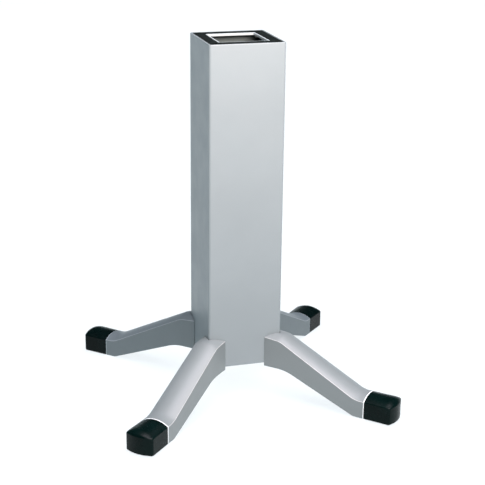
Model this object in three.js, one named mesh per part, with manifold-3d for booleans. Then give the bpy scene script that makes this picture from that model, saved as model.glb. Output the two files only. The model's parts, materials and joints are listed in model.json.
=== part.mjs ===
// Pedestal column base: a square steel column on four splayed cast legs. Cables run up through the column,
// a frame with a square opening closes its top, and a levelling foot hides under each leg tip.
// Millimetres, +Z up. The origin is on the floor, on the column's axis.
import * as THREE from 'three';
import { mergeVertices } from 'three/addons/utils/BufferGeometryUtils.js';
import Module from 'manifold-3d';

const wasm = await Module();
wasm.setup();

// ---- Driving dimensions ----

const GAP = 0.3;                       // clearance between pieces that touch
const BELOW_FLOOR = 20;                // how far cutters reach below the floor

const COLUMN_HALF = 75;                // half the column's width
const COLUMN_WALL = 4;
const COLUMN_CORNER = 5;               // outer corner radius
const COLUMN_INNER_CORNER = 1.5;
const COLUMN_BOTTOM = 71;
const COLUMN_TOP = 722;

const INSERT_HALF = COLUMN_HALF - COLUMN_WALL - GAP;   // plates that sit inside the column
const INSERT_CORNER = 1.5;

const BOTTOM_PLATE_THICK = 8;
const CABLE_HOLE_R = 32;
const GROMMET_R = 28;                  // clear radius inside the grommet
const GROMMET_LIP = 2.7;               // lip thickness on each side of the plate
const GROMMET_LIP_WIDTH = 4;

const FRAME_THICK = 2.7;               // black frame, flush with the column's top end
const FRAME_OPENING_HALF = 50.5;
const TOP_PLATE_THICK = 2;
const COLLAR_HALF = 50.2;              // outside of the top plate's raised collar
const COLLAR_WALL = 3;
const COLLAR_DROP = 0.3;               // the collar ends this far below the frame's face
const OPENING_CORNER = 3;
const TOP_BOLT_XY = 60.5;              // M8 fixing holes on a square
const TOP_BOLT_HOLE_R = 4.5;
const TOP_BOLTS = [[-1, -1], [1, -1], [1, 1], [-1, 1]].map(([x, y]) => [x * TOP_BOLT_XY, y * TOP_BOLT_XY]);
const FRAME_BOTTOM = COLUMN_TOP - FRAME_THICK;
const TOP_PLATE_TOP = FRAME_BOTTOM - GAP;
const TOP_PLATE_BOTTOM = TOP_PLATE_TOP - TOP_PLATE_THICK;
const WELD_NUT = { flats: 13, height: 6.5, boreR: 3.4 };

const LEG_ANGLES = { front_left: 225, front_right: 315, back_right: 45, back_left: 135 };
const LEG_INNER = 50;                  // inner end of the tab under the column, from the axis
const LEG_END = 306;                   // where the cast leg meets its end cap
const LEG_HALF_AT_COLUMN = 25;         // half width at the column's corner
const LEG_HALF_AT_END = 28.8;
const LEG_CROWN_AT_COLUMN = 8;         // rise of the top face from its edges to its middle
const LEG_CROWN_AT_END = 9;
const LEG_UNDERSIDE = 2.5;             // height of the leg tip's underside over the floor
const TIP_TOP = 38;                    // height of the side edge at the tip
const HEEL_TOP = 130;                  // height that the side edge rises towards over the tab
const HEEL_BOTTOM = COLUMN_BOTTOM - 6.5;
const LEG_WALL = 6;                    // casting wall around the hollow underside
const HOLLOW_START = 134;
const HOLLOW_END = LEG_END - 10;
const TAB_HALF = 12;                   // half width of the tab under the column

// Corners of the leg's top and bottom edges between the column and the tip: [x, height, fillet radius].
const SHOULDER = [117, 124.5, 25];
const TIP_BEND = [285.7, TIP_TOP, 50];
const HEEL_BEND = [130, HEEL_BOTTOM, 90];
const TOE_BEND = [283.5, LEG_UNDERSIDE, 15];

const CAP_END = 360.5;                 // where the end cap's sides stop
const CAP_BULGE = 14;                  // height of the triangle that the curved end face is rounded from
const CAP_FACE_R = 60;                 // plan radius of the end face
const CAP_CORNER = 5;                  // plan radius between the end face and the sides
const CAP_WALL = 3.2;
const CAP_FLOOR = 3.5;
const CAP_NOSE = 10;                   // the crown dies away over this length before the end face

const TONGUE_HALF = 20;                // leg tongue inside the end cap
const TONGUE_END = 347;
const TONGUE_BOTTOM = 14;
const TONGUE_TOP = 31;

const FOOT_AT = 336;                   // levelling foot, from the column's axis
const PAD_R = 17;
const PAD_HOLE_R = 18.5;
const PAD_HEIGHT = 7.5;
const PAD_FLOOR = 3;                   // rubber under the stud's end
const STUD_R = 5;
const STUD_TOP = 41;
const STUD_COLLAR = { flats: 14, height: 4.5 };
const LOCK_NUT = { flats: 16, height: 6 };
const RUNNING_GAP = 0.15;              // radial clearance of the stud in its threaded hole

const LEG_BOLTS_AT = { inner: 61, outer: 81 };         // two vertical countersunk bolts through each tab
const LEG_BOLT = { headR: 8, headHeight: 4.2, shankR: 4, length: 12.5, socket: 5 };
const LEG_BOLT_HOLE_R = 4.3;
const CORNER_BOLT = { headR: 8, headHeight: 10, shankR: 4.9, length: 37, socket: 8 };
const CORNER_BOLT_Z = 100;             // one diagonal bolt through each column corner
const CORNER_BOLT_AT = 76.7;           // outer end of its head, from the axis
const CORNER_HOLE_R = 5.2;
const CORNER_HOLE_END = 127;
const WASHER_FACE = 87;                // the corner washer lies between these distances from the axis
const WASHER_NOSE = 97;
const WASHER_HALF_HEIGHT = 12;
const CAP_SCREW = { headR: 4.5, headHeight: 3, shankR: 2.4, length: 18, socket: 3 };
const CAP_SCREW_AT = 314;
const CAP_SCREW_HOLE_R = 2.7;
const CAP_SCREW_END = 27;              // top of its hole in the tongue
const CAP_POST_R = 6;

const ROUND_SIDES = 16;
const SCREW_SIDES = 12;
const SOCKET_DEPTH = 0.55;             // share of a screw head's height
const ARC_STEP = Math.PI / 18;

// ---- Finishes ----

const FINISHES = {
  columnPaint: { color: 0xd2d6d6, roughness: 0.5, metalness: 0.0 },
  legPaint: { color: 0xbdc2c8, roughness: 0.42, metalness: 0.1 },
  steel: { color: 0x8d9194, roughness: 0.4, metalness: 0.9 },
  blackPlastic: { color: 0x151817, roughness: 0.45, metalness: 0.0 },
  framePlastic: { color: 0x262a2a, roughness: 0.6, metalness: 0.0 },
  rubber: { color: 0x1b1b1b, roughness: 0.85, metalness: 0.0 },
};

// ---- Solids ----

function solidOf(geometry) {
  geometry.deleteAttribute('normal');
  geometry.deleteAttribute('uv');
  const merged = mergeVertices(geometry, 1e-4);
  const mesh = new wasm.Mesh({
    numProp: 3,
    vertProperties: new Float32Array(merged.attributes.position.array),
    triVerts: new Uint32Array(merged.index.array),
  });
  return new wasm.Manifold(mesh);
}

function geometryOf(solid) {
  const mesh = solid.getMesh();
  const geometry = new THREE.BufferGeometry();
  geometry.setAttribute('position', new THREE.BufferAttribute(mesh.vertProperties, 3));
  geometry.setIndex(new THREE.BufferAttribute(mesh.triVerts, 1));
  geometry.computeVertexNormals();
  return geometry;
}

// Points of a closed outline through corners [x, y, fillet radius], listed anticlockwise.
function roundedOutline(corners) {
  const points = [];
  corners.forEach(([x, y, radius = 0], i) => {
    const corner = new THREE.Vector2(x, y);
    const before = new THREE.Vector2(...corners.at(i - 1).slice(0, 2)).sub(corner).normalize();
    const after = new THREE.Vector2(...corners[(i + 1) % corners.length].slice(0, 2)).sub(corner).normalize();
    if (radius === 0) {
      points.push(corner);
      return;
    }
    const halfAngle = Math.acos(THREE.MathUtils.clamp(before.dot(after), -1, 1)) / 2;
    const tangent = radius / Math.tan(halfAngle);
    const start = corner.clone().addScaledVector(before, tangent);
    const inward = before.clone().add(after).normalize();
    const centre = corner.clone().addScaledVector(inward, radius / Math.sin(halfAngle));
    const turn = Math.sign(after.cross(before)) * (Math.PI - 2 * halfAngle);
    const steps = Math.max(2, Math.round(Math.abs(turn) / ARC_STEP));
    for (let k = 0; k <= steps; k += 1) {
      points.push(start.clone().rotateAround(centre, (turn * k) / steps));
    }
  });
  return points;
}

function squareOutline(half, corner) {
  const signs = [[-1, -1], [1, -1], [1, 1], [-1, 1]];
  return roundedOutline(signs.map(([x, y]) => [x * half, y * half, corner]));
}

// An upright prism between two heights, over an outline with optional holes.
function prism(outline, bottom, top, holes = []) {
  const shape = new THREE.Shape(outline);
  shape.holes = holes.map((hole) => new THREE.Path(hole));
  const geometry = new THREE.ExtrudeGeometry(shape, { depth: top - bottom, bevelEnabled: false });
  geometry.translate(0, 0, bottom);
  return solidOf(geometry);
}

function upright(radius, bottom, top, x = 0, y = 0, sides = ROUND_SIDES) {
  const geometry = new THREE.CylinderGeometry(radius, radius, top - bottom, sides);
  geometry.rotateX(Math.PI / 2);
  geometry.translate(x, y, (bottom + top) / 2);
  return solidOf(geometry);
}

// A round bar along the leg's own length, for the diagonal bolt's holes.
function levelBar(radius, from, to, height) {
  const geometry = new THREE.CylinderGeometry(radius, radius, to - from, SCREW_SIDES);
  geometry.rotateZ(Math.PI / 2);
  geometry.translate((from + to) / 2, 0, height);
  return solidOf(geometry);
}

function block(x0, x1, halfWidth, z0, z1) {
  const geometry = new THREE.BoxGeometry(x1 - x0, 2 * halfWidth, z1 - z0);
  geometry.translate((x0 + x1) / 2, 0, (z0 + z1) / 2);
  return solidOf(geometry);
}

// A turned piece about the Z axis, from [radius, height] points.
function turned(profile, sides = ROUND_SIDES) {
  const geometry = new THREE.LatheGeometry(profile.map(([r, z]) => new THREE.Vector2(r, z)), sides);
  geometry.rotateX(Math.PI / 2);
  return solidOf(geometry);
}

function hexagon(acrossFlats, bottom, top, x = 0, y = 0) {
  return upright(acrossFlats / Math.sqrt(3), bottom, top, x, y, 6);
}

// A socket head screw that stands on its head at z = 0, with the shank pointing up.
function capScrew({ headR, headHeight, shankR, length, socket }) {
  const end = headHeight + length;
  const profile = [[0, 0], [headR, 0], [headR, headHeight], [shankR, headHeight], [shankR, end], [0, end]];
  return turned(profile, SCREW_SIDES).subtract(hexagon(socket, -1, headHeight * SOCKET_DEPTH));
}

// The same with a conical head, whose flat end is at z = 0.
function countersunkScrew({ headR, headHeight, shankR, length, socket }) {
  const end = headHeight + length;
  const profile = [[0, 0], [headR, 0], [shankR, headHeight], [shankR, end], [0, end]];
  return turned(profile, SCREW_SIDES).subtract(hexagon(socket, -1, headHeight * SOCKET_DEPTH));
}

// The countersunk screw's hole: its head's cone grown by the clearance, and a round hole above it.
function countersink(x, top) {
  const headZ = HEEL_BOTTOM;
  const cone = turned([
    [0, headZ - 1], [LEG_BOLT.headR + GAP, headZ - 1], [LEG_BOLT.headR + GAP, headZ + GAP],
    [LEG_BOLT_HOLE_R, headZ + LEG_BOLT.headHeight + GAP], [LEG_BOLT_HOLE_R, top], [0, top],
  ], SCREW_SIDES);
  return cone.translate([x, 0, 0]);
}

// ---- Leg shape, in the leg's own frame: x runs outwards from the column's axis ----

function legHalfWidth(x) {
  const t = (x - COLUMN_HALF * Math.SQRT2) / (LEG_END - COLUMN_HALF * Math.SQRT2);
  return LEG_HALF_AT_COLUMN + Math.max(t, 0) * (LEG_HALF_AT_END - LEG_HALF_AT_COLUMN);
}

function legCrown(x) {
  const t = THREE.MathUtils.clamp((x - LEG_INNER) / (LEG_END - LEG_INNER), 0, 1);
  return THREE.MathUtils.lerp(LEG_CROWN_AT_COLUMN, LEG_CROWN_AT_END, t);
}

// Splits the leg's top edge from its bottom edge: halfway up at the column and at the tip.
function legMiddle(x) {
  const t = (x - LEG_INNER) / (LEG_END - LEG_INNER);
  return THREE.MathUtils.lerp((HEEL_TOP + HEEL_BOTTOM) / 2, (TIP_TOP + LEG_UNDERSIDE) / 2, Math.min(t, 1));
}

// A solid with the given side outline and the leg's width and crowned top, inset at its sides.
function crownedBar(outline, inset = 0, crownOf = legCrown) {
  const steps = 6;
  const shape = new THREE.Shape(outline);
  const geometry = new THREE.ExtrudeGeometry(shape, { depth: 2, steps, bevelEnabled: false });
  geometry.rotateX(Math.PI / 2);
  geometry.translate(0, 1, 0);
  const position = geometry.attributes.position;
  for (let i = 0; i < position.count; i += 1) {
    const x = position.getX(i);
    const side = position.getY(i);
    const z = position.getZ(i);
    const lift = z > legMiddle(x) ? crownOf(x) * (1 - side * side) : 0;
    position.setXYZ(i, x, side * (legHalfWidth(x) - inset), z + lift);
  }
  return solidOf(geometry);
}

// The column's outline turned by 45 degrees, as it lies in a leg's frame, grown by the clearance.
function columnDiamond() {
  const reach = (COLUMN_HALF + GAP) * Math.SQRT2;
  return [[reach, 0], [0, reach], [-reach, 0], [0, -reach]].map(([x, y]) => new THREE.Vector2(x, y));
}

// The hollow under the casting, open at the bottom, with a sloping roof a wall below the leg's top.
function legHollowSolid() {
  const slope = (SHOULDER[1] - TIP_BEND[1]) / (TIP_BEND[0] - SHOULDER[0]);
  const roofAtTip = TIP_TOP - LEG_WALL;
  const roofAtHeel = SHOULDER[1] - slope * (HOLLOW_START - SHOULDER[0]) - LEG_WALL * 1.5;
  const roofBend = HOLLOW_START + (roofAtHeel - roofAtTip) / slope;
  return crownedBar([
    new THREE.Vector2(HOLLOW_START, -BELOW_FLOOR),
    new THREE.Vector2(HOLLOW_END, -BELOW_FLOOR),
    new THREE.Vector2(HOLLOW_END, roofAtTip),
    new THREE.Vector2(roofBend, roofAtTip),
    new THREE.Vector2(HOLLOW_START, roofAtHeel),
  ], LEG_WALL);
}

function legSolid() {
  const tabTop = COLUMN_BOTTOM - GAP;
  const aboveLeg = HEEL_TOP + LEG_CROWN_AT_END + 1;
  const body = crownedBar(roundedOutline([
    [LEG_INNER, HEEL_BOTTOM], HEEL_BEND, TOE_BEND, [LEG_END, LEG_UNDERSIDE],
    [LEG_END, TIP_TOP], TIP_BEND, SHOULDER, [LEG_INNER, HEEL_TOP],
  ]));
  const notch = prism(columnDiamond(), HEEL_BOTTOM - 1, aboveLeg);
  const tab = block(LEG_INNER, COLUMN_HALF * Math.SQRT2 + LEG_WALL, TAB_HALF, HEEL_BOTTOM, tabTop);
  const tongue = block(LEG_END - LEG_WALL, TONGUE_END, TONGUE_HALF, TONGUE_BOTTOM, TONGUE_TOP);
  return body
    .subtract(legHollowSolid())
    .subtract(notch)
    .add(tab)
    .add(tongue)
    .subtract(upright(STUD_R + RUNNING_GAP, TONGUE_BOTTOM - 1, TONGUE_TOP + 1, FOOT_AT, 0))
    .subtract(upright(CAP_SCREW_HOLE_R, TONGUE_BOTTOM - 1, CAP_SCREW_END, CAP_SCREW_AT, 0))
    .subtract(levelBar(CORNER_HOLE_R, COLUMN_HALF, CORNER_HOLE_END, CORNER_BOLT_Z))
    .subtract(countersink(LEG_BOLTS_AT.inner, tabTop + 1))
    .subtract(countersink(LEG_BOLTS_AT.outer, tabTop + 1));
}

// The crown of the end cap, which dies away in a quarter round towards the end face.
function capCrown(x) {
  const t = THREE.MathUtils.clamp((x - (CAP_END - CAP_NOSE)) / (CAP_NOSE + CAP_CORNER), 0, 1);
  return LEG_CROWN_AT_END * Math.sqrt(1 - t * t);
}

function endCapSolid() {
  const start = LEG_END + GAP;
  const end = CAP_END + CAP_BULGE;
  const beyondSide = legHalfWidth(CAP_END) + 1;
  const hollowFrom = start - 5;
  const hollowTo = CAP_END - 2 * CAP_WALL;
  const hollowBottom = LEG_UNDERSIDE + CAP_FLOOR;
  const screwSeat = LEG_UNDERSIDE + CAP_SCREW.headHeight + 2 * GAP;
  const topPoints = [];
  for (let k = 0; k <= 6; k += 1) {
    topPoints.push(new THREE.Vector2(end - ((CAP_NOSE + CAP_BULGE) * k) / 6, TIP_TOP));
  }
  const bar = crownedBar([
    new THREE.Vector2(start, LEG_UNDERSIDE),
    new THREE.Vector2(end, LEG_UNDERSIDE),
    ...topPoints,
    new THREE.Vector2(start, TIP_TOP),
  ], 0, capCrown);
  const plan = prism(roundedOutline([
    [start - 1, -beyondSide], [CAP_END, -beyondSide, CAP_CORNER], [end, 0, CAP_FACE_R],
    [CAP_END, beyondSide, CAP_CORNER], [start - 1, beyondSide],
  ]), 0, TIP_TOP + LEG_CROWN_AT_END + 1);
  const hollow = crownedBar([
    new THREE.Vector2(hollowFrom, hollowBottom),
    new THREE.Vector2(hollowTo, hollowBottom),
    new THREE.Vector2(hollowTo, TIP_TOP - CAP_WALL),
    new THREE.Vector2(CAP_END - CAP_NOSE, TIP_TOP - CAP_WALL),
    new THREE.Vector2(hollowFrom, TIP_TOP - CAP_WALL),
  ], CAP_WALL, capCrown);
  return bar
    .intersect(plan)
    .subtract(hollow)
    .add(upright(CAP_POST_R, LEG_UNDERSIDE, TONGUE_BOTTOM - GAP, CAP_SCREW_AT, 0))
    .subtract(upright(PAD_HOLE_R, -1, hollowBottom + 1, FOOT_AT, 0))
    .subtract(upright(CAP_SCREW.headR + GAP, -1, screwSeat, CAP_SCREW_AT, 0))
    .subtract(upright(CAP_SCREW_HOLE_R, -1, TONGUE_BOTTOM, CAP_SCREW_AT, 0));
}

function cornerWasherSolid() {
  const flank = INSERT_HALF * Math.SQRT2;
  const outline = [
    [WASHER_FACE, WASHER_FACE - flank], [WASHER_NOSE, WASHER_NOSE - flank],
    [WASHER_NOSE, flank - WASHER_NOSE], [WASHER_FACE, flank - WASHER_FACE],
  ].map(([x, y]) => new THREE.Vector2(x, y));
  return prism(outline, CORNER_BOLT_Z - WASHER_HALF_HEIGHT, CORNER_BOLT_Z + WASHER_HALF_HEIGHT)
    .subtract(levelBar(CORNER_HOLE_R, WASHER_FACE - 1, WASHER_NOSE + 1, CORNER_BOLT_Z));
}

// ---- Column pieces ----

function columnTubeSolid() {
  const inner = squareOutline(COLUMN_HALF - COLUMN_WALL, COLUMN_INNER_CORNER);
  let tube = prism(squareOutline(COLUMN_HALF, COLUMN_CORNER), COLUMN_BOTTOM, COLUMN_TOP, [inner]);
  for (const angle of Object.values(LEG_ANGLES)) {
    const hole = levelBar(CORNER_HOLE_R, COLUMN_HALF, COLUMN_HALF * Math.SQRT2 + 1, CORNER_BOLT_Z);
    tube = tube.subtract(hole.rotate([0, 0, angle]));
  }
  return tube;
}

function bottomPlateSolid() {
  const top = COLUMN_BOTTOM + BOTTOM_PLATE_THICK;
  let plate = prism(squareOutline(INSERT_HALF, INSERT_CORNER), COLUMN_BOTTOM, top);
  plate = plate.subtract(upright(CABLE_HOLE_R, COLUMN_BOTTOM - 1, top + 1));
  for (const angle of Object.values(LEG_ANGLES)) {
    for (const x of Object.values(LEG_BOLTS_AT)) {
      const hole = upright(LEG_BOLT_HOLE_R, COLUMN_BOTTOM - 1, top + 1, x, 0, SCREW_SIDES);
      plate = plate.subtract(hole.rotate([0, 0, angle]));
    }
  }
  return plate;
}

function grommetSolid() {
  const low = COLUMN_BOTTOM - GAP;
  const high = COLUMN_BOTTOM + BOTTOM_PLATE_THICK + GAP;
  const lipR = CABLE_HOLE_R + GROMMET_LIP_WIDTH;
  const neckR = CABLE_HOLE_R - 2 * GAP;
  return turned([
    [GROMMET_R, low - GROMMET_LIP], [lipR, low - GROMMET_LIP], [lipR, low], [neckR, low], [neckR, high],
    [lipR, high], [lipR, high + GROMMET_LIP], [GROMMET_R, high + GROMMET_LIP], [GROMMET_R, low - GROMMET_LIP],
  ]);
}

function drillTopBolts(solid) {
  let drilled = solid;
  for (const [x, y] of TOP_BOLTS) {
    const hole = upright(TOP_BOLT_HOLE_R, TOP_PLATE_BOTTOM - 1, COLUMN_TOP + 1, x, y, SCREW_SIDES);
    drilled = drilled.subtract(hole);
  }
  return drilled;
}

function topPlateSolid() {
  const opening = squareOutline(COLLAR_HALF - COLLAR_WALL, OPENING_CORNER - 1);
  const plate = prism(squareOutline(INSERT_HALF, INSERT_CORNER), TOP_PLATE_BOTTOM, TOP_PLATE_TOP, [opening]);
  const collarTop = COLUMN_TOP - COLLAR_DROP;
  const collar = prism(squareOutline(COLLAR_HALF, OPENING_CORNER), TOP_PLATE_BOTTOM, collarTop, [opening]);
  return drillTopBolts(plate.add(collar));
}

function topFrameSolid() {
  const opening = squareOutline(FRAME_OPENING_HALF, OPENING_CORNER);
  return drillTopBolts(prism(squareOutline(INSERT_HALF, INSERT_CORNER), FRAME_BOTTOM, COLUMN_TOP, [opening]));
}

function weldNutSolid() {
  const top = TOP_PLATE_BOTTOM - GAP;
  const bottom = top - WELD_NUT.height;
  const bore = upright(WELD_NUT.boreR, bottom - 1, top + 1, 0, 0, SCREW_SIDES);
  return hexagon(WELD_NUT.flats, bottom, top).subtract(bore);
}

// ---- Levelling foot ----

function footPadSolid() {
  return turned([
    [0, 0], [PAD_R - 1, 0], [PAD_R, 1], [PAD_R, PAD_HEIGHT - 2], [PAD_R - 2, PAD_HEIGHT],
    [STUD_R + GAP, PAD_HEIGHT], [STUD_R + GAP, PAD_FLOOR], [0, PAD_FLOOR],
  ]);
}

function footStudSolid() {
  const bottom = PAD_FLOOR + GAP;
  const collarBottom = PAD_HEIGHT + GAP;
  const shank = turned([
    [0, bottom], [STUD_R, bottom], [STUD_R, STUD_TOP - 1], [STUD_R - 1, STUD_TOP], [0, STUD_TOP],
  ]);
  return shank.add(hexagon(STUD_COLLAR.flats, collarBottom, collarBottom + STUD_COLLAR.height));
}

function lockNutSolid() {
  const bottom = TONGUE_TOP + GAP;
  const top = bottom + LOCK_NUT.height;
  return hexagon(LOCK_NUT.flats, bottom, top).subtract(upright(STUD_R + RUNNING_GAP, bottom - 1, top + 1));
}

// ---- Assembly ----

function piece(name, solid, finish, x = 0, y = 0, z = 0) {
  const mesh = new THREE.Mesh(geometryOf(solid), new THREE.MeshStandardMaterial(FINISHES[finish]));
  mesh.name = name;
  mesh.position.set(x, y, z);
  return mesh;
}

const base = new THREE.Group();
base.name = 'pedestal_base';

base.add(
  piece('column_tube', columnTubeSolid(), 'columnPaint'),
  piece('bottom_plate', bottomPlateSolid(), 'steel'),
  piece('cable_grommet', grommetSolid(), 'rubber'),
  piece('top_plate', topPlateSolid(), 'columnPaint'),
  piece('top_frame', topFrameSolid(), 'framePlastic'),
);

const weldNut = weldNutSolid();
TOP_BOLTS.forEach(([x, y], i) => base.add(piece(`weld_nut_${i + 1}`, weldNut, 'steel', x, y)));

const solids = {
  legBolt: countersunkScrew(LEG_BOLT),
  cornerBolt: capScrew(CORNER_BOLT),
  capScrew: capScrew(CAP_SCREW),
  leg: legSolid(),
  cornerWasher: cornerWasherSolid(),
  endCap: endCapSolid(),
  footPad: footPadSolid(),
  footStud: footStudSolid(),
  lockNut: lockNutSolid(),
};

for (const [place, angle] of Object.entries(LEG_ANGLES)) {
  const leg = new THREE.Group();
  leg.rotation.z = THREE.MathUtils.degToRad(angle);
  const capScrewZ = LEG_UNDERSIDE + GAP;
  const diagonalBolt = piece(`corner_bolt_${place}`, solids.cornerBolt, 'steel', CORNER_BOLT_AT);
  diagonalBolt.position.z = CORNER_BOLT_Z;
  diagonalBolt.rotation.y = Math.PI / 2;
  leg.add(
    piece(`leg_${place}`, solids.leg, 'legPaint'),
    piece(`leg_bolt_a_${place}`, solids.legBolt, 'steel', LEG_BOLTS_AT.inner, 0, HEEL_BOTTOM),
    piece(`leg_bolt_b_${place}`, solids.legBolt, 'steel', LEG_BOLTS_AT.outer, 0, HEEL_BOTTOM),
    diagonalBolt,
    piece(`corner_washer_${place}`, solids.cornerWasher, 'steel'),
    piece(`end_cap_${place}`, solids.endCap, 'blackPlastic'),
    piece(`cap_screw_${place}`, solids.capScrew, 'steel', CAP_SCREW_AT, 0, capScrewZ),
    piece(`foot_pad_${place}`, solids.footPad, 'rubber', FOOT_AT),
    piece(`foot_stud_${place}`, solids.footStud, 'steel', FOOT_AT),
    piece(`lock_nut_${place}`, solids.lockNut, 'steel', FOOT_AT),
  );
  base.add(leg);
}

export default base;
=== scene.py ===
"""Looks of a pedestal column base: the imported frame's visible solids are replaced by finer meshes with
procedural finishes, on a plain pale floor. Mesh builders work in millimetres, and Blender in metres."""
import json
import math

import bmesh
import bpy
from mathutils import Matrix, Vector

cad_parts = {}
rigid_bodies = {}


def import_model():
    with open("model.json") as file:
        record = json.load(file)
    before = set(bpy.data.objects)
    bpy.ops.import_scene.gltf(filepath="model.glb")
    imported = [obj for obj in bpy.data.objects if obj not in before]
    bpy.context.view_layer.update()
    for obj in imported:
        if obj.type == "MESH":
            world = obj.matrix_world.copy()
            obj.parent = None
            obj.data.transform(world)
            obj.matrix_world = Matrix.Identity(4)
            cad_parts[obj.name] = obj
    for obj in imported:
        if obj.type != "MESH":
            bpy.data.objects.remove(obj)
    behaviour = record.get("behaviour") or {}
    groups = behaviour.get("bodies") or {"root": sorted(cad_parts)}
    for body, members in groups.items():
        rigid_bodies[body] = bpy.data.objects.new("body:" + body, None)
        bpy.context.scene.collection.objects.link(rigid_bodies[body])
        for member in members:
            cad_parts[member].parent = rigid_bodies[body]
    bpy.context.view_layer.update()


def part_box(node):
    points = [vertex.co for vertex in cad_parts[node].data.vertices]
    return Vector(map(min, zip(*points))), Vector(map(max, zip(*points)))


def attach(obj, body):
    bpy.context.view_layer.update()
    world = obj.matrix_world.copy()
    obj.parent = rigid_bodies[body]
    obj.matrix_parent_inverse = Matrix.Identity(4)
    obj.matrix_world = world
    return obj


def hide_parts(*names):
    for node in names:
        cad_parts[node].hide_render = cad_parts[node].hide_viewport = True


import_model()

MM = 0.001

# ---- Sizes in millimetres: the CAD model's, with finer roundings and a wider seam at the legs ----

GAP = 0.3                              # between pieces that meet
COLUMN_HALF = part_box("column_tube")[1].x / MM
COLUMN_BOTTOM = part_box("column_tube")[0].z / MM
COLUMN_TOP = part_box("column_tube")[1].z / MM
COLUMN_WALL = 4.0
COLUMN_CORNER = 5.0
INSERT_HALF = COLUMN_HALF - COLUMN_WALL - GAP
FRAME_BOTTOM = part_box("top_frame")[0].z / MM
FRAME_OPENING_HALF = 50.5
PLATE_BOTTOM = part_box("top_plate")[0].z / MM
PLATE_TOP = PLATE_BOTTOM + 2.0
COLLAR_HALF = 50.2
COLLAR_INNER = 47.2
COLLAR_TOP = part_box("top_plate")[1].z / MM
TOP_BOLT_XY = 60.5
TOP_BOLT_R = 4.5

SEAM = 0.7                             # gap between a leg and the column, a little wider than GAP
LEG_APEX = (COLUMN_HALF + SEAM) * math.sqrt(2)     # inner corner of the leg's V notch
LEG_INNER = 50.0                       # inner end of the tab under the column
LEG_END = 306.0
LEG_HALF_AT_COLUMN = 25.0
LEG_HALF_AT_END = 28.8
LEG_CROWN_AT_COLUMN = 8.0
LEG_CROWN_AT_END = 9.0
LEG_UNDERSIDE = 2.5
TIP_TOP = 38.0
HEEL_TOP = 130.0
HEEL_BOTTOM = COLUMN_BOTTOM - 6.5
TAB_HALF = 12.0
TAB_TOP = COLUMN_BOTTOM - GAP
LEG_WALL = 6.0
CAP_START = LEG_END + GAP
CAP_END = 360.5
CAP_BULGE = 7.5                        # how far the end face stands out in its middle
CAP_NOSE = 12.0                        # length over which the cap's crown dies away
CAP_SHOULDER = 3.0                     # rounding between the cap's sides and its end face
CAP_LOW_FILLET = 1.5
CAP_HIGH_FILLET = 3.5
CAP_WAIST = 16.0                       # height of the extra point on the cap's upright sides
CAP_MIDDLE = 21.0                      # height that the end face's rings close on
CAP_WALL = 3.2
CAP_FLOOR = 3.5
TONGUE = {"half": 20.0, "end": 347.0, "low": 14.0, "high": 31.0}
FOOT_AT = 336.0
PAD_R = 17.0
PAD_HEIGHT = 7.5
PAD_SOCKET = 3.0                       # height of the socket's floor in the pad
STUD_R = 5.0
STUD_HOLE_R = STUD_R + 0.15
STUD_COLLAR_TOP = 12.3
STUD_TOP = 41.0
THREAD_PITCH = 1.5
CAP_SCREW_AT = 314.0
CAP_SCREW_HOLE_R = 2.7
CORNER_BOLT_AT = 76.7                  # where the head of a diagonal bolt begins
CORNER_BOLT_Z = 100.0
CORNER_HOLE_R = 5.2
CORNER_HOLE_END = 127.0
LEG_BOLTS_AT = {"leg_bolt_a": 61.0, "leg_bolt_b": 81.0}
LEG_BOLT_HOLE_R = 4.3
LEG_BOLT_HEAD = (8.0, 4.2)             # radius and height of the countersunk head
GROMMET_HOLE_R = 32.0
CUT_PAST = 1.0                         # how far a cutter reaches past the face that it opens

LEG_ANGLES = {"front_left": 225, "front_right": 315, "back_right": 45, "back_left": 135}


# ---- Outlines ----

def filleted(corners, closed=True, step=math.radians(9)):
    """Points along corners (x, y, fillet radius), with each corner turned on an arc."""
    points = []
    count = len(corners)
    for i, (x, y, radius) in enumerate(corners):
        corner = Vector((x, y))
        inside = closed or 0 < i < count - 1
        if radius == 0 or not inside:
            points.append(corner)
            continue
        before = (Vector(corners[i - 1][:2]) - corner).normalized()
        after = (Vector(corners[(i + 1) % count][:2]) - corner).normalized()
        half_angle = math.acos(max(-1.0, min(1.0, before.dot(after)))) / 2
        start = corner + before * (radius / math.tan(half_angle))
        centre = corner + (before + after).normalized() * (radius / math.sin(half_angle))
        turn = math.pi - 2 * half_angle
        if before.x * after.y - before.y * after.x > 0:
            turn = -turn
        steps = max(2, round(abs(turn) / step))
        arm = start - centre
        for k in range(steps + 1):
            angle = turn * k / steps
            cos, sin = math.cos(angle), math.sin(angle)
            points.append(centre + Vector((arm.x * cos - arm.y * sin, arm.x * sin + arm.y * cos)))
    return points


def rounded_square(half, corner, steps=8):
    """A square outline with rounded corners, and the same number of points at any size."""
    points = []
    for quarter in range(4):
        turn = quarter * math.pi / 2
        middle = Vector((half - corner, half - corner))
        middle.rotate(Matrix.Rotation(turn, 2))
        for k in range(steps + 1):
            angle = turn + math.pi / 2 * k / steps
            points.append(middle + Vector((math.cos(angle), math.sin(angle))) * corner)
    return points


def circle(radius, steps):
    angles = [2 * math.pi * k / steps for k in range(steps)]
    return [Vector((math.cos(angle), math.sin(angle))) * radius for angle in angles]


def height_on(line, x):
    """Height of a rising-x polyline at x."""
    if x <= line[0].x:
        return line[0].y
    for a, b in zip(line, line[1:]):
        if x <= b.x:
            return a.y + (b.y - a.y) * (x - a.x) / (b.x - a.x)
    return line[-1].y


# ---- Meshes ----

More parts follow.
